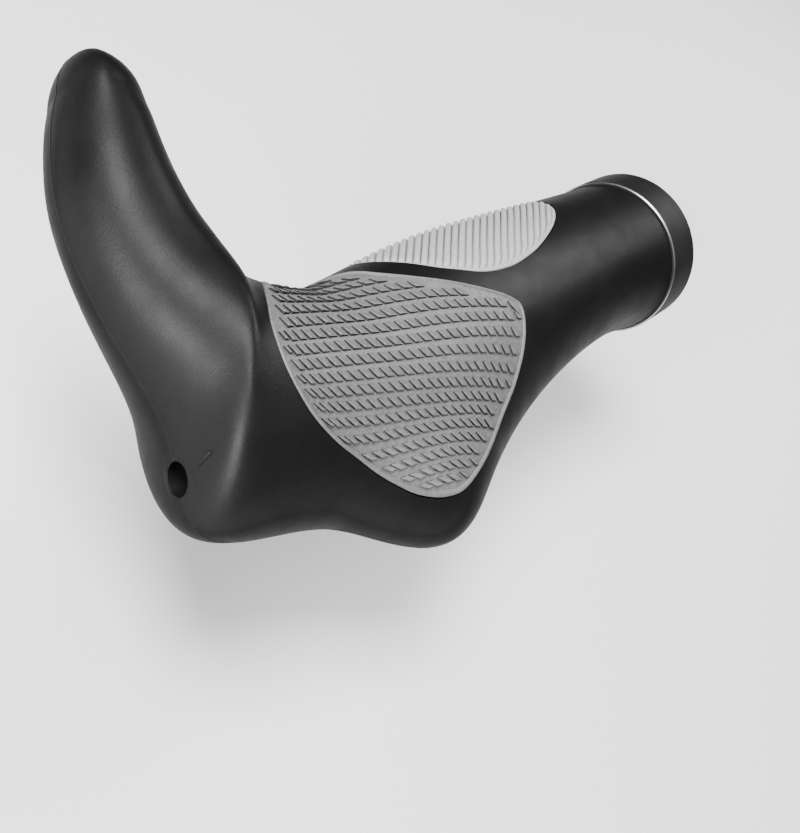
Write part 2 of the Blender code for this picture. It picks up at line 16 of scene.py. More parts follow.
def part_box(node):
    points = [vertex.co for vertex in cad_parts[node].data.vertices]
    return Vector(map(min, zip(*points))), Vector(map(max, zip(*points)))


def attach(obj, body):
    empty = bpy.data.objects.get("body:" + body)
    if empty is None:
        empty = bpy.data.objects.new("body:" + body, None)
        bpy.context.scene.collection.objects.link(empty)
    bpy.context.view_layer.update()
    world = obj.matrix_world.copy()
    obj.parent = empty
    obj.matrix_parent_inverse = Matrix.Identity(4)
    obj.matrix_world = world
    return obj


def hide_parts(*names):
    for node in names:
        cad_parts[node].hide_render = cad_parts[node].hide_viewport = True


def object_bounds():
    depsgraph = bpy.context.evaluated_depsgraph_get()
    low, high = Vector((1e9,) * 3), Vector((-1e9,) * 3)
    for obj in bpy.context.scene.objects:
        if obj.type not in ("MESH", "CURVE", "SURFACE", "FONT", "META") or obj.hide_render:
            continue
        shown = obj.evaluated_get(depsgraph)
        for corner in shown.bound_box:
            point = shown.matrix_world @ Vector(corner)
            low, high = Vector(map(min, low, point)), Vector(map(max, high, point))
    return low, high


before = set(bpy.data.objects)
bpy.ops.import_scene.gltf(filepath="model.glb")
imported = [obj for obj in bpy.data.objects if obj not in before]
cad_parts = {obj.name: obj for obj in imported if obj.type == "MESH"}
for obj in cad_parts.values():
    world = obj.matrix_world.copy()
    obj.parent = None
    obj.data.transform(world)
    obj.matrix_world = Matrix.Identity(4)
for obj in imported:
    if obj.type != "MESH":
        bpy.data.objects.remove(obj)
CAD_BOX = [[float(value) for value in corner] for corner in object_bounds()]
MM = 0.001

# --- dimensions ----------------------------------------------------------------------

RING_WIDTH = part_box("lock_ring")[1][0]
COVER_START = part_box("grip_cover")[0][0]
SLEEVE_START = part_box("bar_sleeve")[0][0]
SLEEVE_R = 12.3 * MM
BAR_BORE_R = 11.2 * MM
GAP = 0.3 * MM
PAD_THICKNESS = 1.2 * MM
KEY_HOLE_R = 2.5 * MM
KEY_HOLE_START = 124 * MM
KEY_HOLE_END = 145 * MM
TICK_SIZE = (0.55 * MM, 0.45 * MM, 3.2 * MM)
TICK_ROUNDING = 0.16 * MM
TICK_LOW = (1.1 * MM, 5.2 * MM)
TICK_HIGH = (1.1 * MM, 8.2 * MM)

HORN_RISE = radians(20)
WING_LIFT = radians(3.5)
WING_SHARPNESS = 11
OUTBOARD = np.array((1.0, 0.0, 0.0))
FORWARD = np.array((0.0, -cos(HORN_RISE), sin(HORN_RISE)))
ACROSS = np.array((0.0, sin(HORN_RISE), cos(HORN_RISE)))

# Cross-sections of the cover: along the bar, along the horn, fan angle in degrees,
# outer radius, inner radius, half thickness, palm wing height; lengths in millimetres.
COVER_SECTIONS = np.array((
    (10.3, 0.0, 0, 16.6, 16.6, 16.6, 0.0),
    (25.0, 0.0, 0, 14.8, 17.4, 15.9, 0.0),
    (45.0, 0.0, 0, 14.4, 18.8, 15.4, 1.5),
    (65.0, 0.0, 0, 14.6, 19.8, 15.0, 5.3),
    (82.0, 0.0, 0, 14.8, 19.4, 14.7, 11.7),
    (97.0, 0.0, 0, 14.7, 18.4, 14.5, 15.9),
    (110.4, 3.6, 13.5, 17.6, 16.6, 14.8, 4.4),
    (124.9, 8.9, 32.5, 21.3, 19.0, 15.6, 0.2),
    (124.4, 16.6, 46.2, 14.4, 12.4, 15.7, 0.0),
    (124.9, 27.6, 80.9, 11.4, 10.4, 11.9, 0.0),
    (125.1, 40.2, 92.7, 9.7, 9.4, 10.2, 0.0),
    (123.0, 49.4, 100.0, 7.6, 8.1, 9.2, 0.0),
    (122.5, 54.6, 115.6, 4.4, 8.6, 8.5, 0.0),
))
COVER_DOME = 8.0 * MM

# Tight bends rounded off in the skin: first and last cross-section, and reach.
ROOT_BEND = (5.4, 9.6, 3.6 * MM)
TIP_BEND = (10.8, 12.67, 1.5 * MM)

PARTING_HEIGHT = 0.07 * MM
PARTING_WIDTH = 0.13 * MM
LIP_HEIGHT = 0.16 * MM
LIP_INSET = 0.35 * MM
LIP_WIDTH = 0.3 * MM

# Cross-sections of the core, in the same terms: the cover's cavity follows them.
CORE_SECTIONS = np.array((
    (112.3, 0.0, 0, 12.3, 12.3, 12.3, 0.0),
    (119.0, 3.0, 16, 12.0, 12.0, 11.5, 0.0),
    (123.5, 11.0, 34, 12.0, 10.5, 10.0, 0.0),
    (124.5, 19.0, 50, 9.5, 8.0, 9.0, 0.0),
    (124.8, 29.0, 75, 7.0, 6.0, 7.5, 0.0),
    (124.8, 40.0, 93, 6.0, 5.5, 6.0, 0.0),
    (123.8, 48.0, 102, 4.5, 4.5, 4.5, 0.0),
))
CORE_DOME = 3.0 * MM

# Pad outlines in millimetres: along the bar, and across it in a plane tilted round it.
PALM_TILT = radians(15)
PALM_OUTLINE = (
    (66.0, 8.6), (68.2, 6.0), (72.3, 3.5), (78.6, -0.2), (84.8, -4.1), (89.2, -7.8),
    (92.2, -12.0), (97.0, -14.6), (105.0, -14.8), (111.8, -13.4), (115.8, -9.8),
    (118.7, -6.3), (121.2, -2.5), (122.3, 2.5), (121.2, 7.4), (118.2, 11.0),
    (113.4, 14.4), (108.7, 18.0), (103.9, 21.6), (99.1, 24.0), (94.4, 24.6),
    (86.9, 22.7), (78.6, 19.1), (72.3, 16.2), (68.2, 13.0),
)
FINGER_TILT = radians(65)
FINGER_OUTLINE = (
    (86.8, 0.0), (86.3, 3.2), (84.0, 6.3), (80.0, 9.4), (76.0, 11.1), (70.0, 12.6),
    (63.0, 13.2), (57.0, 13.2), (50.5, 12.8), (43.5, 11.7), (38.5, 10.2), (35.0, 8.0),
    (33.5, 4.5), (33.6, 0.5), (36.0, -4.0), (41.5, -7.8), (50.0, -9.6), (60.0, -10.0),
    (70.0, -9.4), (79.0, -7.2), (84.5, -4.2),
)
RAY_START = 60 * MM

# Lock ring: its lug, slit and pinch bolt lie below and in front of the bar.
RING_R = 17.25 * MM
RING_BORE = 12.6 * MM
RING_EDGE = 0.22 * MM
LUG_ANGLE = radians(235)
LUG_LOW = (0.8 * MM, 13.6 * MM, -8.0 * MM)
LUG_HIGH = (9.2 * MM, 20.6 * MM, 8.0 * MM)
LUG_ROUNDING = 1.6 * MM
SLIT_WIDTH = 2.2 * MM
PINCH_RADIUS = 16.9 * MM
PINCH_HOLE_R = 1.8 * MM
PINCH_HOLE_START = -12.0 * MM
PINCH_SEAT = 4.0 * MM
PINCH_POCKET_R = 3.05 * MM
PINCH_POCKET_END = 10.0 * MM

# Sleeve on the bar, with its spigot, palm fin and peg holes.
SLEEVE_END = 112.0 * MM
BAR_STOP = 109.0 * MM
SPIGOT_R = 7.6 * MM
SPIGOT_BORE_R = 4.5 * MM
SPIGOT_START = 98.0 * MM
SPIGOT_FLOOR = 105.0 * MM
BOLT_CLEAR_R = 2.8 * MM
SLOT_WIDTH = 1.6 * MM
SLOT_END = 12.5 * MM
FIN_LOW = (76.0 * MM, 11.7 * MM, -2.5 * MM)
FIN_HIGH = (106.0 * MM, 20.0 * MM, 2.5 * MM)
PEG_HOLE_R = 1.8 * MM
PEG_OFFSET = 9.2 * MM
PEG_HOLE_START = 107.0 * MM
OVERRUN = 2.0 * MM

# Palm tread: rows of slanted wedge blocks, closer together towards the rear.
FIRST_ROW = -5.14 * MM
ROW_PITCH = 2.68 * MM
ROW_PITCH_LOSS = 0.033 * MM
ROW_MIDDLE = 100.0 * MM
ROW_START = 95.8 * MM
ROW_STAGGER = 0.75 * MM
ROW_INBOARD = 66 * MM
ROW_OUTBOARD = 122 * MM
ROWS_TO_REAR = 15
ROWS_TO_FRONT = 4
BLOCK_PITCH = 2.27 * MM
BLOCK_LENGTH = 1.95 * MM
BLOCK_GAP = 0.38 * MM
BLOCK_HEIGHT = 0.6 * MM
SMALLEST_BLOCK = 0.6
BLOCK_FACES = 10
# Faces of each block that are its steep walls: they take a darker rubber, painted shade in the
# grooves.
BLOCK_WALLS_IN_PAINTED_SHADE = (1, 2, 3, 4)
PALM_FACE = -0.12 * MM
PALM_MARGIN = 0.85 * MM

# Finger ribs: round ridges on the slant, closed by a narrow rim.
RIB_PITCH = 2.3 * MM
RIB_HEIGHT = 0.95 * MM
FINGER_FLOOR = -0.62 * MM
FINGER_RIM = 0.45 * MM
GROOVE = 0.1 * MM
POCKET_DEPTH = 1.35 * MM

# --- materials -----------------------------------------------------------------------


def new_material(name, colour, roughness, metallic=0.0):
    """Material with its node tree and its main shader."""
    made = bpy.data.materials.new(name)
    made.use_nodes = True
    shader = made.node_tree.nodes["Principled BSDF"]
    shader.inputs["Base Color"].default_value = (*colour, 1.0)
    shader.inputs["Roughness"].default_value = roughness
    shader.inputs["Metallic"].default_value = metallic
    return made, made.node_tree, shader


def node(tree, kind, **settings):
    """New node: each setting is a socket's value or a property."""
    made = tree.nodes.new(kind)
    for key, value in settings.items():
        if key in made.inputs:
            made.inputs[key].default_value = value
        else:
            setattr(made, key, value)
    return made


def noise(tree, coordinates, scale, detail=3.0, roughness=0.55):
    """Noise over the object, from 0 to 1."""
    made = node(tree, "ShaderNodeTexNoise", Scale=scale, Detail=detail, Roughness=roughness)
    tree.links.new(coordinates.outputs["Object"], made.inputs["Vector"])
    return made.outputs["Fac"]


def spread(tree, factor, low, high, start=0.3, end=0.7):
    """The factor mapped from start..end to low..high."""
    made = node(tree, "ShaderNodeMapRange")
    made.inputs["From Min"].default_value = start
    made.inputs["From Max"].default_value = end
    made.inputs["To Min"].default_value = low
    made.inputs["To Max"].default_value = high
    tree.links.new(factor, made.inputs["Value"])
    return made.outputs["Result"]


def shade(tree, shader, factor, dark, light):
    """Base colour between a dark and a light tone, by the factor."""
    ramp = node(tree, "ShaderNodeValToRGB")
    ramp.color_ramp.elements[0].position = 0.3
    ramp.color_ramp.elements[0].color = (*dark, 1)
    ramp.color_ramp.elements[1].position = 0.7
    ramp.color_ramp.elements[1].color = (*light, 1)
    tree.links.new(factor, ramp.inputs["Fac"])
    tree.links.new(ramp.outputs["Color"], shader.inputs["Base Color"])


def bump(tree, shader, heights):
    """Adds bumps one after another: heights are (factor, distance in metres) pairs."""
    before = None
    for factor, depth in heights:
        made = node(tree, "ShaderNodeBump", Strength=1.0, Distance=depth)
        tree.links.new(factor, made.inputs["Height"])
        if before is not None:
            tree.links.new(before.outputs["Normal"], made.inputs["Normal"])
        before = made
    tree.links.new(before.outputs["Normal"], shader.inputs["Normal"])


def fading_shine(tree, shader, shine):
    """Shine that dies away where the surface turns from the eye."""
    facing = node(tree, "ShaderNodeLayerWeight", Blend=0.5)
    tree.links.new(spread(tree, facing.outputs["Facing"], shine, shine * 0.12, 0.12, 0.5),
                   shader.inputs["Specular IOR Level"])


def rubber(name, dark, light, roughness, grain, depth, mottle, shine):
    """Moulded rubber: mottled colour, fine grain, and a shine that dies at the edges."""
    made, tree, shader = new_material(name, light, roughness)
    coordinates = node(tree, "ShaderNodeTexCoord")
    fine = noise(tree, coordinates, grain, 4.0, 0.7)
    coarse = noise(tree, coordinates, grain / 14, 2.0)
    shade(tree, shader, noise(tree, coordinates, mottle, 4.0, 0.7), dark, light)
    rough = spread(tree, coarse, roughness - 0.04, roughness + 0.05)
    tree.links.new(rough, shader.inputs["Roughness"])
    fading_shine(tree, shader, shine)
    bump(tree, shader, ((fine, depth), (coarse, depth * 0.8)))
    return made


def plastic(name, dark, light, roughness):
    """Moulded nylon: clouded colour and a faint grain."""
    made, tree, shader = new_material(name, light, roughness)
    coordinates = node(tree, "ShaderNodeTexCoord")
    fine = noise(tree, coordinates, 1800, 3.0)
    cloud = noise(tree, coordinates, 70, 3.0)
    shade(tree, shader, cloud, dark, light)
    tree.links.new(spread(tree, cloud, roughness - 0.06, roughness + 0.08),
                   shader.inputs["Roughness"])
    bump(tree, shader, ((fine, 0.00002),))
    return made


def metal(name, dark, light, roughness, stretch=(1, 40, 40), metallic=1.0, shine=None):
    """Machined, plated or anodised metal with fine tool marks."""
    made, tree, shader = new_material(name, light, roughness, metallic)
    coordinates = node(tree, "ShaderNodeTexCoord")
    mapping = node(tree, "ShaderNodeMapping", Scale=stretch)
    tree.links.new(coordinates.outputs["Object"], mapping.inputs["Vector"])
    marks = node(tree, "ShaderNodeTexNoise", Scale=260.0, Detail=4.0, Roughness=0.6)
    tree.links.new(mapping.outputs["Vector"], marks.inputs["Vector"])
    cloud = noise(tree, coordinates, 120, 3.0)
    shade(tree, shader, cloud, dark, light)
    tree.links.new(spread(tree, marks.outputs["Fac"], roughness - 0.07, roughness + 0.1),
                   shader.inputs["Roughness"])
    if shine is not None:
        fading_shine(tree, shader, shine)
    bump(tree, shader, ((marks.outputs["Fac"], 0.000008),))
    return made


BLACK_RUBBER = rubber("black rubber", (0.004, 0.004, 0.0042), (0.0065, 0.0065, 0.0068),
                      0.44, 2600, 0.00004, 45, 0.15)
PALM_RUBBER = rubber("grey palm rubber", (0.085, 0.085, 0.086), (0.15, 0.15, 0.152),
                     0.55, 3000, 0.00005, 1500, 0.4)
# Finger pad: grey rubber, made lighter than the palm pad's to paint in the light that falls on
# it from above.
FINGER_RUBBER_WITH_PAINTED_LIGHT = rubber("light grey finger rubber", (0.27, 0.27, 0.272),
                       (0.37, 0.37, 0.372), 0.6, 3000, 0.00005, 1500, 0.4)
# Tread walls: the palm's grey rubber darkened to paint the shade in the grooves between blocks.
PALM_WALLS_PAINTED_SHADE = rubber("grey palm rubber, tread walls in painted shade", (0.018, 0.018, 0.0182),
                    (0.035, 0.035, 0.0355), 0.7, 3000, 0.00003, 1500, 0.2)
SLEEVE_NYLON = plastic("black nylon", (0.018, 0.018, 0.019), (0.03, 0.03, 0.031), 0.42)
CORE_NYLON = plastic("glass filled nylon", (0.035, 0.035, 0.036), (0.06, 0.06, 0.062),
                     0.5)
BLACK_ALLOY = metal("black anodised aluminium", (0.006, 0.006, 0.0063),
                    (0.011, 0.011, 0.0116), 0.5, (60, 1, 1), 0.0, 0.25)
BRIGHT_EDGE = metal("bright turned edge", (0.3, 0.3, 0.305), (0.42, 0.42, 0.425), 0.34,
                    (60, 1, 1))
PLAIN_ALLOY = metal("plain aluminium", (0.5, 0.5, 0.52), (0.66, 0.66, 0.68), 0.34,
                    (60, 1, 1))
BLACK_STEEL = metal("black oxide steel", (0.02, 0.02, 0.022), (0.045, 0.045, 0.05),
                    0.36, (1, 1, 1), 0.9)
ZINC_STEEL = metal("zinc plated steel", (0.5, 0.51, 0.52), (0.66, 0.67, 0.69), 0.3,
                   (1, 1, 1))
BAND_RUBBER = rubber("nitrile rubber", (0.012, 0.012, 0.012), (0.02, 0.02, 0.02), 0.5,
                     1500, 0.00002, 60, 0.5)


def add_piece(name, mesh, looks, body, nodes=()):
    """Finished piece: it rides a CAD body and stands for the CAD nodes named."""
    made = bpy.data.objects.new(name, mesh)
    bpy.context.scene.collection.objects.link(made)
    for look in looks:
        mesh.materials.append(look)
    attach(made, body)
    if nodes:
        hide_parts(*nodes)
    return made


# --- mesh tools ----------------------------------------------------------------------


def ring_faces(rings, count, start=0):
    """Quads between neighbouring rings of so many points."""
    i = np.arange(rings - 1)[:, None] * count + start
    k = np.arange(count)[None, :]
    after = (k + 1) % count
    quads = np.stack([i + k, i + after, i + count + after, i + count + k], axis=-1)
    return quads.reshape(-1, 4).tolist()


def joined(*shapes):
    """One list of points and one of faces for several shapes."""
    points = []
    faces = []
    for more_points, more_faces in shapes:
        start = len(points)
        points += list(more_points)
        faces += [[start + k for k in face] for face in more_faces]
    return points, faces


def mesh_from(name, points, faces, smooth=True, sharp=None):
    """Mesh of points and faces, smooth but for edges past the sharp angle."""
    mesh = bpy.data.meshes.new(name)
    mesh.from_pydata([tuple(point) for point in points], [], faces)
    mesh.validate()
    if smooth:
        mesh.shade_smooth()
        if sharp is not None:
            mesh.set_sharp_from_angle(angle=sharp)
    return mesh


def mesh_of(shape, name):
    """Mesh of a bmesh, which is freed."""
    mesh = bpy.data.meshes.new(name)
    shape.to_mesh(mesh)
    shape.free()
    return mesh


def closed_mesh(name, points, faces):
    """Closed mesh that can be cut: open loops bridged, faces turned outwards."""
    mesh = bpy.data.meshes.new(name)
    mesh.from_pydata([tuple(point) for point in points], [], faces)
    shape = bmesh.new()
    shape.from_mesh(mesh)
    open_edges = [edge for edge in shape.edges if edge.is_boundary]
    if open_edges:
        bmesh.ops.bridge_loops(shape, edges=open_edges)
    bmesh.ops.triangulate(shape, faces=[face for face in shape.faces if len(face.verts) > 4])
    bmesh.ops.recalc_face_normals(shape, faces=shape.faces)
    return mesh_of(shape, name)


def rod_mesh(name, radius, start, end, sides=96, turn=None):
    """Cylinder along X, or along its own Z laid in place by a matrix."""
    shape = bmesh.new()
    bmesh.ops.create_cone(shape, cap_ends=True, segments=sides, radius1=radius,
                          radius2=radius, depth=end - start)
    bmesh.ops.translate(shape, vec=(0, 0, (start + end) / 2), verts=shape.verts)
    matrix = Matrix.Rotation(pi / 2, 4, "Y") if turn is None else turn
    bmesh.ops.transform(shape, matrix=matrix, verts=shape.verts)
    return mesh_of(shape, name)


def block_mesh(low, high, matrix, round_edges=0.0, segments=4):
    """Box between two corners, with round edges, laid in place by a matrix."""
    shape = bmesh.new()
    bmesh.ops.create_cube(shape, size=1.0)
    size = [b - a for a, b in zip(low, high)]
    centre = [(a + b) / 2 for a, b in zip(low, high)]
    bmesh.ops.scale(shape, vec=size, verts=shape.verts)
    bmesh.ops.translate(shape, vec=centre, verts=shape.verts)
    if round_edges:
        bmesh.ops.bevel(shape, geom=shape.edges[:], offset=round_edges,
                        segments=segments, profile=0.5, affect="EDGES")
    bmesh.ops.transform(shape, matrix=matrix, verts=shape.verts)
    return mesh_of(shape, "block")


def turned_mesh(profile, sides):
    """Closed ring turned round the X axis from (radius, x) corners."""
    angles = 2 * pi * np.arange(sides) / sides
    points = [(x, r * cos(a), r * sin(a)) for r, x in profile for a in angles]
    faces = ring_faces(len(profile), sides)
    last = (len(profile) - 1) * sides
    for k in range(sides):
        after = (k + 1) % sides
        faces.append([last + k, last + after, after, k])
    return closed_mesh("turned", points, faces)


def cut(mesh, cutter_mesh, operation="DIFFERENCE"):
    """The mesh with the cutter taken away from it or joined to it."""
    thing = bpy.data.objects.new("cut", mesh)
    cutter = bpy.data.objects.new("cutter", cutter_mesh)
    for each in (thing, cutter):
        bpy.context.scene.collection.objects.link(each)
    step = thing.modifiers.new("cut", "BOOLEAN")
    step.operation = operation
    step.solver = "EXACT"
    step.object = cutter
    bpy.context.view_layer.update()
    graph = bpy.context.evaluated_depsgraph_get()
    made = bpy.data.meshes.new_from_object(thing.evaluated_get(graph))
    for each in (thing, cutter):
        bpy.data.objects.remove(each)
    return made


# --- the grip's surface --------------------------------------------------------------


def spline_rows(sections, steps):
    """Rows along the natural cubic spline through the sections."""
    count = len(sections)
    left = np.eye(count)
    right = np.zeros(sections.shape)
    for i in range(1, count - 1):
        left[i, i - 1:i + 2] = (1, 4, 1)
        right[i] = 6 * (sections[i - 1] - 2 * sections[i] + sections[i + 1])
    bend = np.linalg.solve(left, right)
    place = np.arange((count - 1) * steps + 1) / steps
    i = np.minimum(place.astype(int), count - 2)
    t = (place - i)[:, None]
    s = 1 - t
    return (sections[i] * s + sections[i + 1] * t
            + (s ** 3 - s) * bend[i] / 6 + (t ** 3 - t) * bend[i + 1] / 6)


def section_points(rows, angles, offset=0.0, shrink=1.0, push=0.0):
    """Grid of points, one ring for each row."""
    along, out, fan, outer, inner, half, wing = (rows[:, [k]] for k in range(7))
    fan = np.radians(fan)
    normal = np.cos(fan)[..., None] * OUTBOARD + np.sin(fan)[..., None] * FORWARD
    side = np.sin(fan)[..., None] * OUTBOARD - np.cos(fan)[..., None] * FORWARD
    centre = (along[..., None] * OUTBOARD + out[..., None] * FORWARD) * MM
    centre = centre + normal * np.reshape(push, (-1, 1, 1))
    c = np.cos(angles)[None, :]
    s = np.sin(angles)[None, :]
    reach = np.where(c > 0, outer, inner)
    radius = 1 / np.sqrt((c / reach) ** 2 + (s / half) ** 2)
    radius = radius + wing * ((1 + np.cos(angles - WING_LIFT)) / 2) ** WING_SHARPNESS
    radius = (radius * MM + offset) * np.reshape(shrink, (-1, 1))
    return centre + side * (radius * c)[..., None] + ACROSS * (radius * s)[..., None]


def domed_points(sections, angles, steps, dome, dome_steps, offset=0.0):
    """Rings along a shape and over its domed end, and the dome's pole."""
    rows = spline_rows(sections, steps)
    body = section_points(rows, angles, offset)
    turn = pi / 2 * np.arange(1, dome_steps) / dome_steps
    end = np.repeat(rows[-1:], dome_steps - 1, axis=0)
    cap = section_points(end, angles, offset, np.cos(turn), (dome + offset) * np.sin(turn))
    pole = section_points(rows[-1:], angles, 0.0, np.zeros(1), dome + offset)[0, 0]
    return np.concatenate([body, cap]), pole


def grid_normals(grid):
    """Unit normals of a grid of rings."""
    run = np.gradient(grid, axis=0)
    closed = np.concatenate([grid[:, -1:], grid, grid[:, :1]], axis=1)
    turn = np.gradient(closed, axis=1)[:, 1:-1]
    normal = np.cross(turn, run)
    return normal / np.linalg.norm(normal, axis=-1, keepdims=True)


def smoothstep(value):
    """Soft step from 0 to 1."""
    value = np.clip(value, 0, 1)
    return value * value * (3 - 2 * value)


def eased(grid, angles, first, last, reach):
    """The grid with the tight inner bend between two rows rounded off over a reach."""
    length = np.linalg.norm(np.diff(grid, axis=0), axis=-1)
    place = np.concatenate([np.zeros((1, grid.shape[1])), np.cumsum(length, axis=0)])
    share = np.gradient(place, axis=0)
    soft = np.empty_like(grid)
    for column in range(grid.shape[1]):
        away = (place[:, None, column] - place[None, :, column]) / reach
        weight = np.exp(-0.5 * away ** 2) * share[None, :, column]
        soft[:, column] = weight @ grid[:, column] / weight.sum(axis=1, keepdims=True)
    row = np.arange(len(grid))[:, None]
    blend = smoothstep((row - first) / 20) * smoothstep((last - row) / 10)
    blend = blend * smoothstep(0.35 - np.cos(angles))[None, :]
    return grid + (soft - grid) * blend[..., None]


def squeezed(grid, margins):
    """The grid drawn in near the CAD's box so that it stays inside by the margins."""
    grid = grid.copy()
    depth = 9 * MM
    for axis in range(3):
        values = grid[..., axis]
        top = CAD_BOX[1][axis] - margins[1][axis]
        over = max(values.max() - top, 0)
        bottom = CAD_BOX[0][axis] + margins[0][axis]
        under = max(bottom - values.min(), 0)
        pulled = over * smoothstep((values - top + depth) / depth)
        pushed = under * smoothstep((bottom + depth - values) / depth)
        grid[..., axis] = values - pulled + pushed
    return grid


COVER_STEPS = 24
COVER_TURNS = 420
BOX_MARGINS = ((0.0, 0.1 * MM, 0.0), (0.18 * MM, 0.1 * MM, 0.03 * MM))
turns = 2 * pi * np.arange(COVER_TURNS) / COVER_TURNS
cover_angles = turns - 0.42 * np.sin(turns)  # closer together along the palm wing
cover_grid, cover_pole = domed_points(COVER_SECTIONS, cover_angles, COVER_STEPS,
                                      COVER_DOME, 16)
for first, last, reach in (ROOT_BEND, TIP_BEND):
    cover_grid = eased(cover_grid, cover_angles, first * COVER_STEPS, last * COVER_STEPS, reach)
cover_grid = squeezed(cover_grid, BOX_MARGINS)
cover_normals = grid_normals(cover_grid)
outwards = (cover_grid - cover_grid.mean(axis=1, keepdims=True)) * cover_normals
if outwards.sum() < 0:
    cover_normals = -cover_normals
outer_quads = ring_faces(len(cover_grid), COVER_TURNS)
surface_tree = BVHTree.FromPolygons(
    [Vector(point) for point in cover_grid.reshape(-1, 3)], outer_quads)
flat_normals = cover_normals.reshape(-1, 3)


class PadPlane:
    """Flat plane that a pad's outline is drawn in: along the bar, and across it."""

    def __init__(self, outline, tilt, points=360):
        self.across = Vector((0, cos(tilt), sin(tilt)))
        self.up = Vector((0, -sin(tilt), cos(tilt)))
        control = np.array(outline) * MM
        size = len(control)
        place = np.arange(points) * size / points
        i = place.astype(int)
        t = (place - i)[:, None]
        a, b, c, d = (control[(i + j) % size] for j in (-1, 0, 1, 2))
        path = 0.5 * (2 * b + (c - a) * t + (2 * a - 5 * b + 4 * c - d) * t ** 2
                      + (3 * b - a - 3 * c + d) * t ** 3)
        after = np.roll(path, -1, axis=0)
        if (path[:, 0] * after[:, 1] - after[:, 0] * path[:, 1]).sum() < 0:
            path = path[::-1]
        self.path = path
        run = np.roll(path, -1, axis=0) - np.roll(path, 1, axis=0)
        run /= np.linalg.norm(run, axis=1, keepdims=True)
        self.inward = np.stack([-run[:, 1], run[:, 0]], axis=1)

    def at(self, s, t, offset=0.0):
        """Point of the grip's surface over (s, t), raised along the surface's normal."""
        start = Vector((s, 0, 0)) + self.across * t + self.up * RAY_START
        hit, _, index, _ = surface_tree.ray_cast(start, -self.up)
        if hit is None:
            hit, _, index, _ = surface_tree.find_nearest(start - self.up * RAY_START)
        corners = outer_quads[index]
        normal = Vector(flat_normals[corners].mean(axis=0)).normalized()
        return hit + normal * offset

    def distance(self, points):
        """Distance inside the outline, negative outside, for an array of (s, t)."""
        points = np.atleast_2d(points)
        start = self.path[::3]
        step = np.roll(start, -1, axis=0) - start
        best = np.full(len(points), np.inf)
        inside = np.zeros(len(points), bool)
        for a, b in zip(start, step):
            away = points - a
            share = np.clip((away @ b) / (b @ b), 0, 1)
            gap = away - share[:, None] * b
            best = np.minimum(best, (gap ** 2).sum(axis=1))
            crosses = (a[1] > points[:, 1]) != (a[1] + b[1] > points[:, 1])
            if abs(b[1]) > 1e-12:
                reach = a[0] + (points[:, 1] - a[1]) * b[0] / b[1]
                inside ^= crosses & (points[:, 0] < reach)
        return np.where(inside, 1, -1) * np.sqrt(best)


palm = PadPlane(PALM_OUTLINE, PALM_TILT)
finger = PadPlane(FINGER_OUTLINE, FINGER_TILT)

# --- rubber cover --------------------------------------------------------------------

# The mould's parting line runs round the grip in the plane of the bar and the horn.
level = cover_grid @ ACROSS
parting = PARTING_HEIGHT * np.exp(-(level / PARTING_WIDTH) ** 2)
parting *= np.abs(cover_normals @ ACROSS) < 0.35

# A soft rolled lip rings the key hole.
from_axis = np.hypot(cover_grid[..., 1], cover_grid[..., 2])
lip = LIP_HEIGHT * np.exp(-((from_axis - KEY_HOLE_R - LIP_INSET) / LIP_WIDTH) ** 2)
lip *= cover_grid[..., 0] > KEY_HOLE_START
skin = cover_grid + cover_normals * (parting + lip)[..., None]

# The cavity under the skin follows the core, and opens on the sleeve.
CORE_TURNS = 96
core_angles = 2 * pi * np.arange(CORE_TURNS) / CORE_TURNS
cavity_grid, cavity_pole = domed_points(CORE_SECTIONS, core_angles, 6, CORE_DOME, 6, GAP)
mouth = np.array([[COVER_START / MM, 0, 0, *[SLEEVE_R / MM] * 3, 0]])
mouth_ring = section_points(mouth, core_angles, GAP)


def cover_mesh():
    """Closed rubber cover: its skin, its inboard edge and the cavity for the core."""
    skin_count = skin.shape[0] * skin.shape[1]
    hollow = np.concatenate([mouth_ring, cavity_grid])
    points = np.concatenate([skin.reshape(-1, 3), [cover_pole], hollow.reshape(-1, 3),
                             [cavity_pole]])
    faces = [quad[::-1] for quad in outer_quads]
    last = skin_count - COVER_TURNS
    pole = skin_count
    for k in range(COVER_TURNS):
        faces.append([last + (k + 1) % COVER_TURNS, last + k, pole])
    hollow_start = skin_count + 1
    faces += ring_faces(len(hollow), CORE_TURNS, hollow_start)
    last = hollow_start + (len(hollow) - 1) * CORE_TURNS
    pole = last + CORE_TURNS
    for k in range(CORE_TURNS):
        faces.append([last + k, last + (k + 1) % CORE_TURNS, pole])
    return closed_mesh("grip cover", points, faces)


def pad_pocket(plane):
    """Closed cutter that follows a pad's outline, one groove wider than the pad."""
    path = plane.path + plane.inward * -GROOVE
    middle = (path.min(axis=0) + path.max(axis=0)) / 2
    count = len(path)
    shares = (1.0, 0.8, 0.6, 0.4, 0.2)
    points = []
    for offset, order in ((1.5 * MM, shares[::-1]), (-POCKET_DEPTH, shares)):
        for share in order:
            ring = middle + (path - middle) * share
            points += [plane.at(s, t, offset) for s, t in ring]
    faces = ring_faces(2 * len(shares), count)
    faces.append(list(range(count))[::-1])
    last = (2 * len(shares) - 1) * count
    faces.append(list(range(last, last + count)))
    return closed_mesh("pad pocket", points, faces)


cover = cut(cover_mesh(), rod_mesh("key hole", KEY_HOLE_R, KEY_HOLE_START, KEY_HOLE_END, 72))
cover = cut(cover, pad_pocket(palm))
cover = cut(cover, pad_pocket(finger))
cover.shade_smooth()
cover.set_sharp_from_angle(angle=radians(50))
add_piece("cover_skin", cover, [BLACK_RUBBER], "grip", ["grip_cover"])

# --- pads ----------------------------------------------------------------------------


def rim_strip(plane, profile):
    """Band that follows a pad's outline: the profile is (inset, offset) steps inwards."""
    points = []
    for inset, offset in profile:
        path = plane.path + plane.inward * inset
        points += [plane.at(s, t, offset) for s, t in path]
    count = len(plane.path)
    return points, ring_faces(len(profile), count)


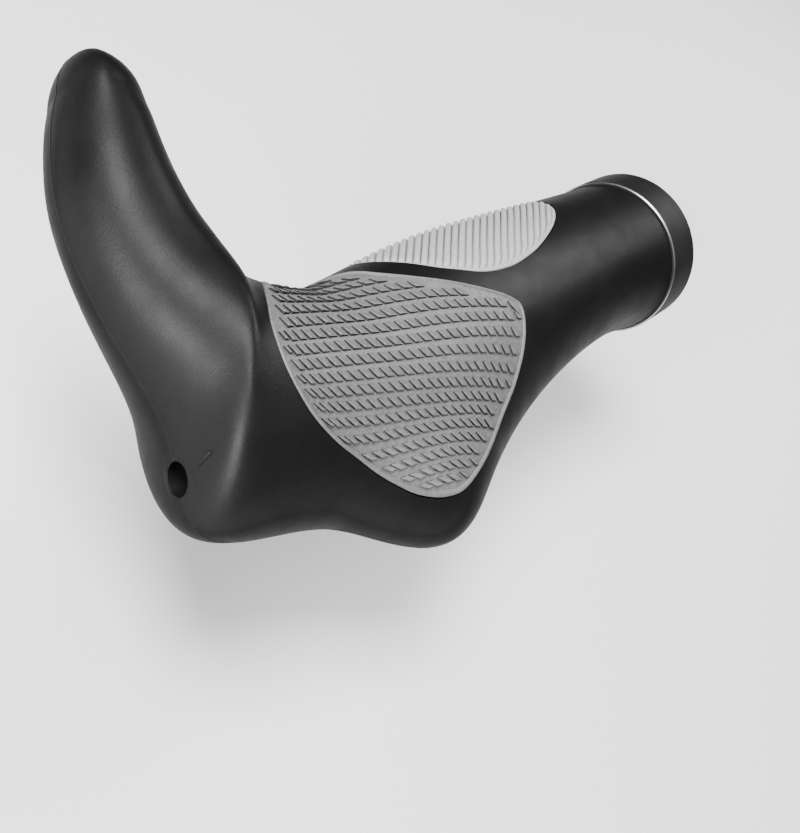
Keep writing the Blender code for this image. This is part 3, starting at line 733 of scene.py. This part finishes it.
def span_at(polygon, column):
    """Lowest and highest crossing of a closed polygon with one column."""
    a = polygon
    b = np.roll(polygon, -1, axis=0)
    crosses = (a[:, 0] > column) != (b[:, 0] > column)
    a = a[crosses]
    b = b[crosses]
    t = a[:, 1] + (column - a[:, 0]) / (b[:, 0] - a[:, 0]) * (b[:, 1] - a[:, 1])
    return t.min(), t.max()


def fill_sheet(plane, inset, columns, rows, shift, offset_at):
    """Sheet inside the outline, with columns that may lean, and a height rule."""
    path = plane.path + plane.inward * inset
    polygon = np.stack([path[:, 0] - shift(path[:, 1]), path[:, 1]], axis=1)
    low = polygon[:, 0].min() + 0.004 * MM
    high = polygon[:, 0].max() - 0.004 * MM
    lines = np.linspace(low, high, columns)
    flat = []
    for line_at in lines:
        bottom, top = span_at(polygon, line_at)
        for share in np.linspace(0, 1, rows):
            t = bottom + (top - bottom) * share
            flat.append((line_at + shift(t), t))
    flat = np.array(flat)
    offsets = offset_at(flat)
    points = [plane.at(s, t, offset) for (s, t), offset in zip(flat, offsets)]
    faces = []
    for i in range(columns - 1):
        for k in range(rows - 1):
            a = i * rows + k
            faces.append([a, a + rows, a + rows + 1, a + 1])
    return points, faces


def surface_step(plane, s, t, reach=0.2 * MM):
    """Length on the surface of one step across the bar, per unit of t."""
    return (plane.at(s, t + reach) - plane.at(s, t - reach)).length / (2 * reach)


def row_line(anchor):
    """Slope and bow of the tread row whose rear edge crosses the middle at anchor."""
    slope = -0.176 - 4.0 * max(anchor, 0)
    bow = 3.1 * np.exp(-anchor / (8 * MM)) - 0.6
    return slope, bow


def tread_block(s, t, slope, width, depth, skew):
    """Wedge block: (s, t) is its rear outboard corner, where it stands tallest.

    Its faces come in rings: foot, then steep walls, then a soft edge, then the top.
    """
    points = []
    for inset, rise in ((0.0, -0.6), (0.05, 0.84), (0.15, 1.0)):
        for across, along in ((0, 0), (0, 1), (1, 1), (1, 0)):
            back = depth * (1 - across) + inset * depth * (2 * across - 1)
            side = width * (1 - along) + inset * width * (2 * along - 1)
            top = 0.12 + 0.4 * along + 0.48 * across
            height = BLOCK_HEIGHT * (rise if rise <= 0 else top * rise)
            share = back / depth
            points.append(palm.at(s - side - skew * share, t - back - slope * side,
                                  PALM_FACE + height))
    faces = [[0, 1, 2, 3]]
    for ring in (0, 4):
        for k in range(4):
            after = (k + 1) % 4
            faces.append([ring + k, ring + 4 + k, ring + 4 + after, ring + after])
    faces.append([8, 9, 10, 11][::-1])
    return points, faces


def block_corners(s, t, slope, width, depth, skew):
    """Corners of a block's foot in the pad's plane."""
    return [(s - width * a - skew * b, t - depth * b - slope * width * a)
            for a in (0, 1) for b in (0, 1)]


def tread_rows():
    """Number of each row, and where its rear edge crosses the middle."""
    rows = [(0, FIRST_ROW)]
    anchor = FIRST_ROW
    for number in range(1, ROWS_TO_REAR + 1):
        arc = surface_step(palm, ROW_MIDDLE, anchor + 1.0 * MM)
        anchor += (ROW_PITCH - ROW_PITCH_LOSS * number) / arc
        rows.append((number, anchor))
    anchor = FIRST_ROW
    for number in range(1, ROWS_TO_FRONT + 1):
        anchor -= ROW_PITCH / surface_step(palm, ROW_MIDDLE, anchor - 1.2 * MM)
        rows.append((-number, anchor))
    return rows


def row_places(number, anchor):
    """Outboard edge and pitch of each block of a row, both ways from the row's start."""
    start = ROW_START - ROW_STAGGER * number
    pitch = BLOCK_PITCH - 0.014 * max(anchor, 0)
    places = []
    s = start
    while s > ROW_INBOARD:
        places.append((s, pitch))
        s -= pitch
    s = start
    while s < ROW_OUTBOARD:
        step = pitch - 0.07 * max(s - 109 * MM, 0)
        s += step
        places.append((s, step))
    return places


def fitted_block(s, t, slope, pitch):
    """Block shrunk until it stands clear of the pad's rim, or None where it can't."""
    depth = BLOCK_LENGTH / surface_step(palm, s, t - 0.9 * MM)
    width = pitch - BLOCK_GAP
    skew = min(-(0.45 * MM + 0.03 * t + 2.2 * (s - 88 * MM) * max(t, 0)), -0.15 * MM)
    margin = PALM_MARGIN if t < 9 * MM else 0.6 * PALM_MARGIN
    middle_s = s - pitch / 2
    middle_t = t - depth / 2
    size = 1.0
    while palm.distance(block_corners(s, t, slope, width * size, depth * size,
                                      skew * size)).min() < margin:
        size *= 0.88
        if size <= SMALLEST_BLOCK:
            return None
        s = middle_s + width / 2 * size
        t = middle_t + depth / 2 * size
    return tread_block(s, t, slope, width * size, depth * size, skew * size)


def palm_blocks():
    """All the tread blocks that have room on the palm pad."""
    shapes = []
    for number, anchor in tread_rows():
        slope, bow = row_line(anchor)
        for s, pitch in row_places(number, anchor):
            away = s - ROW_MIDDLE
            t = anchor + slope * away + bow * away ** 2
            if palm.distance([(s - pitch / 2, t)])[0] < 0.2 * MM:
                continue
            block = fitted_block(s, t, slope + 2 * bow * away, pitch)
            if block:
                shapes.append(block)
    return joined(*shapes)


# A pad is a rim that follows its outline, and a sheet inside the rim. The palm's blocks
# stand on its sheet.
palm_rim = rim_strip(palm, (
    (0.3 * MM, -PAD_THICKNESS), (0.0, -PAD_THICKNESS), (0.0, -0.1 * MM),
    (0.04 * MM, 0.08 * MM), (0.12 * MM, 0.17 * MM), (0.24 * MM, 0.2 * MM),
    (0.4 * MM, 0.13 * MM), (0.55 * MM, PALM_FACE), (0.8 * MM, PALM_FACE - 0.02 * MM),
))
palm_floor = fill_sheet(palm, 0.6 * MM, 240, 130, lambda t: 0 * t,
                        lambda flat: np.full(len(flat), PALM_FACE))
points, faces = joined(palm_rim, palm_floor)
add_piece("palm_pad_skin", mesh_from("palm pad", points, faces, True, radians(40)),
          [PALM_RUBBER], "grip", ["palm_pad"])
points, faces = palm_blocks()
tread = mesh_from("palm tread blocks", points, faces, False)
# Each block's steep walls take the darker rubber: painted shade.
for face in tread.polygons:
    if face.index % BLOCK_FACES in BLOCK_WALLS_IN_PAINTED_SHADE:
        face.material_index = 1
add_piece("palm_tread", tread, [PALM_RUBBER, PALM_WALLS_PAINTED_SHADE], "grip")


def rib_shift(t):
    """How far a rib has run outboard at t: it bends as it wraps round the front."""
    return 1.30 * t + 22.5 * t ** 2 + 1170.0 * t ** 3


def rib_offset(flat):
    """Height of the finger pad: round ribs that die out at the rim."""
    phase = (flat[:, 0] - rib_shift(flat[:, 1])) / RIB_PITCH
    place = 2 * (phase - np.floor(phase)) - 1
    ridge = np.sqrt(np.clip(1 - (np.abs(place) / 0.96) ** 2.3, 0, 1))
    room = finger.distance(flat)
    fade = smoothstep((room - 0.2 * MM) / (0.5 * MM))
    return FINGER_FLOOR + RIB_HEIGHT * ridge * fade + 0.3 * MM * (1 - fade)


finger_rim = rim_strip(finger, (
    (0.3 * MM, -PAD_THICKNESS), (0.0, -PAD_THICKNESS), (0.0, -0.25 * MM),
    (0.05 * MM, -0.12 * MM), (0.16 * MM, -0.05 * MM), (0.3 * MM, -0.1 * MM),
    (FINGER_RIM, -0.3 * MM), (FINGER_RIM + 0.2 * MM, -0.5 * MM),
))
finger_sheet = fill_sheet(finger, FINGER_RIM - 0.1 * MM, 560, 60, rib_shift, rib_offset)
points, faces = joined(finger_rim, finger_sheet)
add_piece("finger_pad_skin", mesh_from("finger pad", points, faces, True, radians(60)),
          [FINGER_RUBBER_WITH_PAINTED_LIGHT], "grip", ["finger_pad"])

# A short raised tick beside the key hole shows where the key goes.
tick_low, tick_high = (
    surface_tree.ray_cast(Vector((KEY_HOLE_END, *place)), Vector((-1, 0, 0)))[0]
    for place in (TICK_LOW, TICK_HIGH))
tick_turn = (tick_high - tick_low).to_track_quat("Z", "Y").to_matrix().to_4x4()
tick_mesh = block_mesh([-size / 2 for size in TICK_SIZE], [size / 2 for size in TICK_SIZE],
                       Matrix.Translation((tick_low + tick_high) / 2) @ tick_turn,
                       TICK_ROUNDING, 3)
tick_mesh.shade_smooth()
add_piece("key_hole_tick", tick_mesh, [BLACK_RUBBER], "grip")

# --- lock ring and sleeve ------------------------------------------------------------

lug_turn = Matrix.Rotation(LUG_ANGLE, 4, "X")
bolt_line = Matrix.Translation((RING_WIDTH / 2, PINCH_RADIUS * cos(LUG_ANGLE),
                                PINCH_RADIUS * sin(LUG_ANGLE))) @ lug_turn
RING_SIDES = 224
ring = turned_mesh((
    (RING_R - RING_EDGE - 0.1 * MM, RING_WIDTH), (RING_R - 0.1 * MM, RING_WIDTH - RING_EDGE),
    (RING_R, RING_WIDTH - RING_EDGE - 0.12 * MM), (RING_R, RING_EDGE + 0.12 * MM),
    (RING_R - 0.1 * MM, RING_EDGE), (RING_R - RING_EDGE - 0.1 * MM, 0.0),
    (RING_BORE + RING_EDGE, 0.0), (RING_BORE, RING_EDGE), (RING_BORE, RING_WIDTH),
), RING_SIDES)
for face in ring.polygons[:RING_SIDES]:  # the chamfer at the outboard edge
    face.material_index = 1
ring = cut(ring, block_mesh(LUG_LOW, LUG_HIGH, lug_turn, LUG_ROUNDING, 6), "UNION")
ring = cut(ring, block_mesh((-OVERRUN, RING_BORE - OVERRUN, -SLIT_WIDTH / 2),
                            (RING_WIDTH + OVERRUN, LUG_HIGH[1] + OVERRUN, SLIT_WIDTH / 2),
                            lug_turn))
ring = cut(ring, rod_mesh("pinch bolt hole", PINCH_HOLE_R, PINCH_HOLE_START,
                          PINCH_SEAT + OVERRUN, 64, turn=bolt_line))
ring = cut(ring, rod_mesh("pinch head pocket", PINCH_POCKET_R, PINCH_SEAT,
                          PINCH_POCKET_END, 64, turn=bolt_line))
ring.shade_smooth()
ring.set_sharp_from_angle(angle=radians(32))
add_piece("lock_ring_skin", ring, [BLACK_ALLOY, BRIGHT_EDGE], "lock_ring",
          ["lock_ring"])

sleeve = turned_mesh((
    (SLEEVE_R, SLEEVE_END), (SLEEVE_R, SLEEVE_START + 0.2 * MM),
    (SLEEVE_R - 0.2 * MM, SLEEVE_START), (BAR_BORE_R + 0.3 * MM, SLEEVE_START),
    (BAR_BORE_R, SLEEVE_START + 0.3 * MM), (BAR_BORE_R, BAR_STOP), (SPIGOT_R, BAR_STOP),
    (SPIGOT_R, SPIGOT_START), (SPIGOT_BORE_R, SPIGOT_START), (SPIGOT_BORE_R, SPIGOT_FLOOR),
    (BOLT_CLEAR_R, SPIGOT_FLOOR), (BOLT_CLEAR_R, SLEEVE_END),
), 144)
sleeve = cut(sleeve, block_mesh(FIN_LOW, FIN_HIGH,
                                Matrix.Rotation(WING_LIFT - HORN_RISE, 4, "X"), 0.4 * MM),
             "UNION")
for quarter in (1, 3):
    sleeve = cut(sleeve, block_mesh(
        (-OVERRUN, -SLEEVE_R - OVERRUN, -SLOT_WIDTH / 2),
        (SLOT_END, SLEEVE_R + OVERRUN, SLOT_WIDTH / 2),
        Matrix.Rotation(pi / 4 * quarter, 4, "X")))
for side in (1, -1):
    peg_line = (Matrix.Translation((0, 0, side * PEG_OFFSET))
                @ Matrix.Rotation(pi / 2, 4, "Y"))
    sleeve = cut(sleeve, rod_mesh("peg hole", PEG_HOLE_R, PEG_HOLE_START,
                                  SLEEVE_END + OVERRUN, 48, turn=peg_line))
sleeve.shade_smooth()
sleeve.set_sharp_from_angle(angle=radians(32))
add_piece("sleeve_skin", sleeve, [SLEEVE_NYLON], "grip", ["bar_sleeve"])

# --- carried-over CAD nodes ----------------------------------------------------------

LOOKS = {
    "horn_core": CORE_NYLON, "lock_bolt": BLACK_STEEL, "lock_washer": ZINC_STEEL,
    "expander_bolt": BLACK_STEEL, "expander_washer": ZINC_STEEL, "wedge_nut": PLAIN_ALLOY,
    "expander_jaw_top": PLAIN_ALLOY, "expander_jaw_rear": PLAIN_ALLOY,
    "expander_jaw_front": PLAIN_ALLOY, "jaw_band": BAND_RUBBER,
}
for name, look in LOOKS.items():
    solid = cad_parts[name]
    solid.data.materials.clear()
    solid.data.materials.append(look)

# --- stage ---------------------------------------------------------------------------

floor_z = CAD_BOX[0][2] - 30 * MM
bpy.ops.mesh.primitive_plane_add(size=6.0, location=(0, 0, floor_z))
floor = bpy.context.object
floor.name = "floor"
pale, tree, shader = new_material("pale floor", (0.78, 0.78, 0.78), 0.7)
floor.data.materials.append(pale)

world = bpy.data.worlds.new("studio")
bpy.context.scene.world = world
world.use_nodes = True
background = world.node_tree.nodes["Background"]
background.inputs["Color"].default_value = (0.95, 0.96, 1.0, 1)
background.inputs["Strength"].default_value = 0.16


def soft_light(name, place, target, size, watts):
    """Square area light that looks at its target."""
    data = bpy.data.lights.new(name, "AREA")
    data.shape = "SQUARE"
    data.size = size
    data.energy = watts
    made = bpy.data.objects.new(name, data)
    bpy.context.scene.collection.objects.link(made)
    made.location = place
    made.rotation_euler = (Vector(target) - Vector(place)).to_track_quat("-Z", "Y").to_euler()
    return made


middle = Vector((0.08, -0.01, 0.0))
soft_light("overhead light", middle + Vector((0.22, -0.12, 0.60)), middle, 0.26, 10.5)
soft_light("horn light", middle + Vector((0.60, 0.06, 0.20)), middle, 0.24, 9.5)
soft_light("bar light", middle + Vector((-0.50, 0.02, 0.34)), middle, 0.22, 4.0)

camera_data = bpy.data.cameras.new("camera")
camera_data.lens = 45
camera_data.sensor_width = 36
camera_data.clip_start = 0.01
camera = bpy.data.objects.new("camera", camera_data)
bpy.context.scene.collection.objects.link(camera)
camera_place = Vector((217.4, 35.7, 121.0)) * MM
aim = Vector((-0.707, -0.157, -0.690)).normalized()
lean = Vector((-0.613, 0.623, 0.486))
lean = (lean - aim * lean.dot(aim)).normalized()
upright = lean.cross(aim)
camera.matrix_world = Matrix.Translation(camera_place) @ Matrix(
    (lean, upright, -aim)).transposed().to_4x4()
bpy.context.scene.camera = camera
